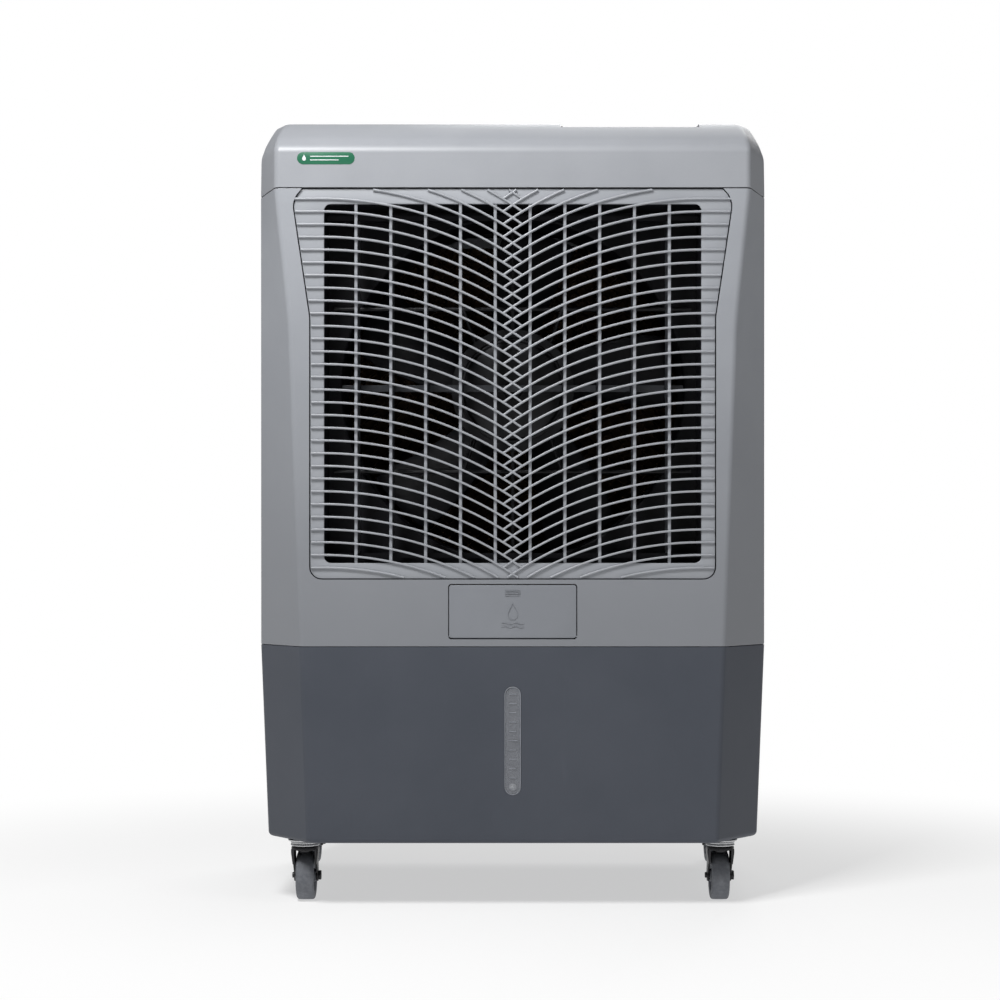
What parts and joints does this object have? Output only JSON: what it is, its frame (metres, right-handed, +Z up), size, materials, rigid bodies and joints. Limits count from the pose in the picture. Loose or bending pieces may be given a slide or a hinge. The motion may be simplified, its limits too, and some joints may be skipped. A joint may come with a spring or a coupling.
{
  "type": "evaporative cooler",
  "caption": "Portable evaporative air cooler: lidded housing with ribbed front grille and swing vanes over a water tank on swivel casters.",
  "frame": {"origin": "on the floor under the middle of the cooler's bounding box", "axes": "+Z up, -Y out of the front grille, +X to the right seen from the front"},
  "size_m": [0.629, 0.444, 0.9766],
  "materials": {
    "shell_plastic": "satin moulded",
    "tank_plastic": "satin moulded",
    "window_plastic": "smooth translucent",
    "black_plastic": "matte moulded",
    "white_plastic": "smooth moulded",
    "black_steel": "semi-gloss paint",
    "zinc_steel": "bright zinc plate",
    "caster_tread": "matte",
    "pad_media": "corrugated cellulose",
    "hose_vinyl": "smooth clear vinyl"
  },
  "bodies": {
    "cabinet": {"tank": "tank_plastic", "upper_housing": "shell_plastic", "top_cover": "shell_plastic", "control_panel": "black_plastic", "front_grille": "shell_plastic", "grille_bars": "shell_plastic", "air_duct": "black_plastic", "swing_motor": "white_plastic", "fan_shroud": "black_plastic", "motor_mount": "black_steel", "fan_motor": "black_steel", "pad_frame": "shell_plastic", "cooling_pad": "pad_media", "water_distributor": "black_plastic", "rear_panel": "shell_plastic", "pump": "black_plastic", "pump_hose": "hose_vinyl", "fill_chute": "black_plastic", "level_window": "window_plastic", "level_guide": "black_plastic", "float_valve": "white_plastic", "cable_gland": "black_plastic", "front_left_plate": "zinc_steel", "front_right_plate": "zinc_steel", "rear_left_plate": "zinc_steel", "rear_right_plate": "zinc_steel"},
    "door": {"fill_door": "shell_plastic"},
    "latch": {"touch_latch": "white_plastic"},
    "vane_01": {"vane_01": "black_plastic"},
    "vane_02": {"vane_02": "black_plastic"},
    "vane_03": {"vane_03": "black_plastic"},
    "vane_04": {"vane_04": "black_plastic"},
    "vane_05": {"vane_05": "black_plastic"},
    "vane_06": {"vane_06": "black_plastic"},
    "vane_07": {"vane_07": "black_plastic"},
    "vane_08": {"vane_08": "black_plastic"},
    "vane_09": {"vane_09": "black_plastic"},
    "vane_10": {"vane_10": "black_plastic"},
    "vane_link": {"vane_link_bar": "black_plastic"},
    "fan": {"fan": "black_plastic"},
    "speed_knob": {"speed_knob": "black_plastic"},
    "pump_knob": {"pump_knob": "black_plastic"},
    "swing_knob": {"swing_knob": "black_plastic"},
    "panel_latch_left": {"panel_latch_left": "black_plastic"},
    "panel_latch_right": {"panel_latch_right": "black_plastic"},
    "level_float": {"level_float": "white_plastic"},
    "float_arm": {"float_arm": "white_plastic"},
    "drain_plug": {"drain_plug": "black_plastic"},
    "front_left_fork": {"front_left_fork": "black_steel", "front_left_axle": "black_steel"},
    "front_left_wheel": {"front_left_wheel": "caster_tread"},
    "front_right_fork": {"front_right_fork": "black_steel", "front_right_axle": "black_steel"},
    "front_right_wheel": {"front_right_wheel": "caster_tread"},
    "rear_left_fork": {"rear_left_fork": "black_steel", "rear_left_axle": "black_steel"},
    "rear_left_wheel": {"rear_left_wheel": "caster_tread"},
    "rear_right_fork": {"rear_right_fork": "black_steel", "rear_right_axle": "black_steel"},
    "rear_right_wheel": {"rear_right_wheel": "caster_tread"}
  },
  "joints": [
    {"name": "fill_door_hinge", "type": "hinge", "parent": "cabinet", "child": "door", "pos_m": [0, -0.2202, 0.3296], "axis": [1, 0, 0], "range_deg": [0, 50]},
    {"name": "touch_latch_travel", "type": "slide", "parent": "cabinet", "child": "latch", "axis": [0, 1, 0], "range_m": [0, 0.003], "stiffness_N_per_m": 150},
    {"name": "vane_01_swing", "type": "hinge", "parent": "cabinet", "child": "vane_01", "pos_m": [-0.1908, -0.172, 0.636], "axis": [0, 0, 1], "range_deg": [-30, 30]},
    {"name": "vane_02_swing", "type": "hinge", "parent": "cabinet", "child": "vane_02", "pos_m": [-0.1484, -0.172, 0.636], "axis": [0, 0, 1], "range_deg": [-30, 30]},
    {"name": "vane_03_swing", "type": "hinge", "parent": "cabinet", "child": "vane_03", "pos_m": [-0.106, -0.172, 0.636], "axis": [0, 0, 1], "range_deg": [-30, 30]},
    {"name": "vane_04_swing", "type": "hinge", "parent": "cabinet", "child": "vane_04", "pos_m": [-0.0636, -0.172, 0.636], "axis": [0, 0, 1], "range_deg": [-30, 30]},
    {"name": "vane_05_swing", "type": "hinge", "parent": "cabinet", "child": "vane_05", "pos_m": [-0.0212, -0.172, 0.636], "axis": [0, 0, 1], "range_deg": [-30, 30]},
    {"name": "vane_06_swing", "type": "hinge", "parent": "cabinet", "child": "vane_06", "pos_m": [0.0212, -0.172, 0.636], "axis": [0, 0, 1], "range_deg": [-30, 30]},
    {"name": "vane_07_swing", "type": "hinge", "parent": "cabinet", "child": "vane_07", "pos_m": [0.0636, -0.172, 0.636], "axis": [0, 0, 1], "range_deg": [-30, 30]},
    {"name": "vane_08_swing", "type": "hinge", "parent": "cabinet", "child": "vane_08", "pos_m": [0.106, -0.172, 0.636], "axis": [0, 0, 1], "range_deg": [-30, 30]},
    {"name": "vane_09_swing", "type": "hinge", "parent": "cabinet", "child": "vane_09", "pos_m": [0.1484, -0.172, 0.636], "axis": [0, 0, 1], "range_deg": [-30, 30]},
    {"name": "vane_10_swing", "type": "hinge", "parent": "cabinet", "child": "vane_10", "pos_m": [0.1908, -0.172, 0.636], "axis": [0, 0, 1], "range_deg": [-30, 30]},
    {"name": "vane_link_travel", "type": "slide", "parent": "cabinet", "child": "vane_link", "axis": [1, 0, 0], "range_m": [-0.0094, 0.0094]},
    {"name": "fan_spin", "type": "hinge", "parent": "cabinet", "child": "fan", "pos_m": [0, -0.062, 0.635], "axis": [0, 1, 0], "continuous": true},
    {"name": "speed_knob_turn", "type": "hinge", "parent": "cabinet", "child": "speed_knob", "pos_m": [0.091, -0.054, 0.96], "axis": [0, 0, -1], "range_deg": [0, 210]},
    {"name": "pump_knob_turn", "type": "hinge", "parent": "cabinet", "child": "pump_knob", "pos_m": [0.145, -0.054, 0.96], "axis": [0, 0, -1], "range_deg": [0, 90]},
    {"name": "swing_knob_turn", "type": "hinge", "parent": "cabinet", "child": "swing_knob", "pos_m": [0.199, -0.054, 0.96], "axis": [0, 0, -1], "range_deg": [0, 90]},
    {"name": "panel_latch_left_turn", "type": "hinge", "parent": "cabinet", "child": "panel_latch_left", "pos_m": [-0.301, 0.208, 0.6], "axis": [0, 1, 0], "range_deg": [0, 90]},
    {"name": "panel_latch_right_turn", "type": "hinge", "parent": "cabinet", "child": "panel_latch_right", "pos_m": [0.301, 0.208, 0.6], "axis": [0, -1, 0], "range_deg": [0, 90]},
    {"name": "level_float_rise", "type": "slide", "parent": "cabinet", "child": "level_float", "axis": [0, 0, 1], "range_m": [0, 0.112]},
    {"name": "float_arm_swing", "type": "hinge", "parent": "cabinet", "child": "float_arm", "pos_m": [-0.15, 0.187, 0.273], "axis": [-1, 0, 0], "range_deg": [0, 40]},
    {"name": "drain_plug_turn", "type": "hinge", "parent": "cabinet", "child": "drain_plug", "pos_m": [0.06, 0.208, 0.106], "axis": [0, 1, 0], "range_deg": [0, 270]},
    {"name": "front_left_swivel", "type": "hinge", "parent": "cabinet", "child": "front_left_fork", "pos_m": [-0.257, -0.172, 0.066], "axis": [0, 0, 1], "continuous": true},
    {"name": "front_left_roll", "type": "hinge", "parent": "front_left_fork", "child": "front_left_wheel", "pos_m": [-0.257, -0.154, 0.03], "axis": [1, 0, 0], "continuous": true},
    {"name": "front_right_swivel", "type": "hinge", "parent": "cabinet", "child": "front_right_fork", "pos_m": [0.257, -0.172, 0.066], "axis": [0, 0, 1], "continuous": true},
    {"name": "front_right_roll", "type": "hinge", "parent": "front_right_fork", "child": "front_right_wheel", "pos_m": [0.257, -0.154, 0.03], "axis": [1, 0, 0], "continuous": true},
    {"name": "rear_left_swivel", "type": "hinge", "parent": "cabinet", "child": "rear_left_fork", "pos_m": [-0.28, 0.153, 0.066], "axis": [0, 0, 1], "continuous": true},
    {"name": "rear_left_roll", "type": "hinge", "parent": "rear_left_fork", "child": "rear_left_wheel", "pos_m": [-0.28, 0.171, 0.03], "axis": [1, 0, 0], "continuous": true},
    {"name": "rear_right_swivel", "type": "hinge", "parent": "cabinet", "child": "rear_right_fork", "pos_m": [0.28, 0.153, 0.066], "axis": [0, 0, 1], "continuous": true},
    {"name": "rear_right_roll", "type": "hinge", "parent": "rear_right_fork", "child": "rear_right_wheel", "pos_m": [0.28, 0.171, 0.03], "axis": [1, 0, 0], "continuous": true}
  ],
  "couplings": [
    {"joint": "vane_02_swing", "follows": "vane_01_swing", "ratio": 1},
    {"joint": "vane_03_swing", "follows": "vane_01_swing", "ratio": 1},
    {"joint": "vane_04_swing", "follows": "vane_01_swing", "ratio": 1},
    {"joint": "vane_05_swing", "follows": "vane_01_swing", "ratio": 1},
    {"joint": "vane_06_swing", "follows": "vane_01_swing", "ratio": 1},
    {"joint": "vane_07_swing", "follows": "vane_01_swing", "ratio": 1},
    {"joint": "vane_08_swing", "follows": "vane_01_swing", "ratio": 1},
    {"joint": "vane_09_swing", "follows": "vane_01_swing", "ratio": 1},
    {"joint": "vane_10_swing", "follows": "vane_01_swing", "ratio": 1},
    {"joint": "vane_link_travel", "follows": "vane_01_swing", "m_per_rad": -0.0175}
  ]
}
